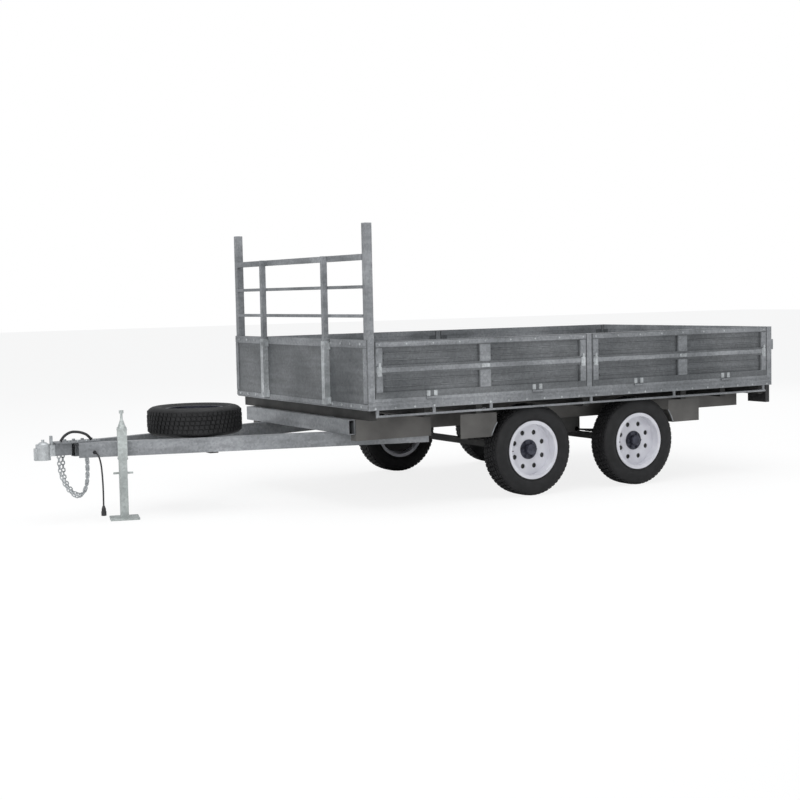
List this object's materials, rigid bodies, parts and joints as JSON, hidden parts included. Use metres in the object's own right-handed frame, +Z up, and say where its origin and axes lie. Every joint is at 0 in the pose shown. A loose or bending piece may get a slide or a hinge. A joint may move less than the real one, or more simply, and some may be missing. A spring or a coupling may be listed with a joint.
{
  "type": "tandem-axle drop-side trailer",
  "caption": "Flat-deck tandem-axle trailer with drop sides, a tailgate, a front ladder rack, an A-frame drawbar with jack and a flat-lying spare wheel.",
  "frame": {"origin": "on the ground under the middle of the trailer's box", "axes": "+X forwards to the coupling, +Y to the left, +Z up"},
  "size_m": [5.561, 2.1286, 1.919],
  "materials": {
    "galvanised_frame": "hot-dip galvanised, dull spangle",
    "galvanised_sheet": "galvanised sheet, darker and streaked",
    "dark_steel": "dull dark paint",
    "tyre_rubber": "black rubber",
    "white_rim": "white enamel",
    "black_rubber": "matt",
    "black_plastic": "matt",
    "lamp_housing": "matt"
  },
  "bodies": {
    "trailer": {"axle_front": "dark_steel", "axle_rear": "dark_steel", "brake_hose": "black_rubber", "chassis_crossmembers": "galvanised_frame", "chassis_rails": "galvanised_frame", "coupling_body": "galvanised_frame", "coupling_handle": "galvanised_frame", "drawbar_head": "galvanised_frame", "drawbar_rails": "galvanised_frame", "front_crossmember": "galvanised_frame", "front_wall": "galvanised_sheet", "jack_crank": "galvanised_frame", "jack_tube": "galvanised_frame", "leaf_springs": "dark_steel", "mudguards": "dark_steel", "panel_hinges": "galvanised_frame", "rack_inner_posts": "galvanised_frame", "rack_posts": "galvanised_frame", "rack_rails": "galvanised_frame", "rack_sleeves": "galvanised_frame", "rope_rails": "galvanised_frame", "safety_chains": "galvanised_frame", "side_boxes": "dark_steel", "side_posts": "galvanised_frame", "spare_carrier": "galvanised_frame", "spare_rim": "white_rim", "spare_tyre": "tyre_rubber", "spring_hangers": "dark_steel", "tail_lights": "lamp_housing", "tailgate_latches": "galvanised_frame", "trailer_cable": "black_rubber", "trailer_plug": "black_plastic", "tray_bearers": "galvanised_frame", "tray_floor": "galvanised_sheet", "tray_frame": "galvanised_frame"},
    "jack_leg": {"jack_leg": "galvanised_frame"},
    "tailgate": {"tailgate": "galvanised_sheet"},
    "wheel_front_left": {"tyre_front_left": "tyre_rubber", "rim_front_left": "white_rim"},
    "side_panel_front_left": {"side_panel_front_left": "galvanised_sheet"},
    "wheel_front_right": {"tyre_front_right": "tyre_rubber", "rim_front_right": "white_rim"},
    "side_panel_front_right": {"side_panel_front_right": "galvanised_sheet"},
    "wheel_rear_left": {"tyre_rear_left": "tyre_rubber", "rim_rear_left": "white_rim"},
    "side_panel_rear_left": {"side_panel_rear_left": "galvanised_sheet"},
    "wheel_rear_right": {"tyre_rear_right": "tyre_rubber", "rim_rear_right": "white_rim"},
    "side_panel_rear_right": {"side_panel_rear_right": "galvanised_sheet"}
  },
  "joints": [
    {"name": "wheel_front_left_spin", "type": "hinge", "parent": "trailer", "child": "wheel_front_left", "pos_m": [-0.4955, 0.934, 0.327], "axis": [0, 1, 0], "continuous": true},
    {"name": "wheel_front_right_spin", "type": "hinge", "parent": "trailer", "child": "wheel_front_right", "pos_m": [-0.4955, -0.934, 0.327], "axis": [0, 1, 0], "continuous": true},
    {"name": "wheel_rear_left_spin", "type": "hinge", "parent": "trailer", "child": "wheel_rear_left", "pos_m": [-1.4475, 0.934, 0.327], "axis": [0, 1, 0], "continuous": true},
    {"name": "wheel_rear_right_spin", "type": "hinge", "parent": "trailer", "child": "wheel_rear_right", "pos_m": [-1.4475, -0.934, 0.327], "axis": [0, 1, 0], "continuous": true},
    {"name": "side_panel_front_left_drop", "type": "hinge", "parent": "trailer", "child": "side_panel_front_left", "pos_m": [-0.03, 1.0573, 0.749], "axis": [-1, 0, 0], "range_deg": [0, 180]},
    {"name": "side_panel_front_right_drop", "type": "hinge", "parent": "trailer", "child": "side_panel_front_right", "pos_m": [-0.03, -1.0573, 0.749], "axis": [1, 0, 0], "range_deg": [0, 180]},
    {"name": "side_panel_rear_left_drop", "type": "hinge", "parent": "trailer", "child": "side_panel_rear_left", "pos_m": [-1.8, 1.0573, 0.749], "axis": [-1, 0, 0], "range_deg": [0, 180]},
    {"name": "side_panel_rear_right_drop", "type": "hinge", "parent": "trailer", "child": "side_panel_rear_right", "pos_m": [-1.8, -1.0573, 0.749], "axis": [1, 0, 0], "range_deg": [0, 180]},
    {"name": "tailgate_drop", "type": "hinge", "parent": "trailer", "child": "tailgate", "pos_m": [-2.7568, 0, 0.749], "axis": [0, -1, 0], "range_deg": [0, 180]},
    {"name": "jack_leg_slide", "type": "slide", "parent": "trailer", "child": "jack_leg", "axis": [0, 0, 1], "range_m": [0, 0.08]}
  ]
}
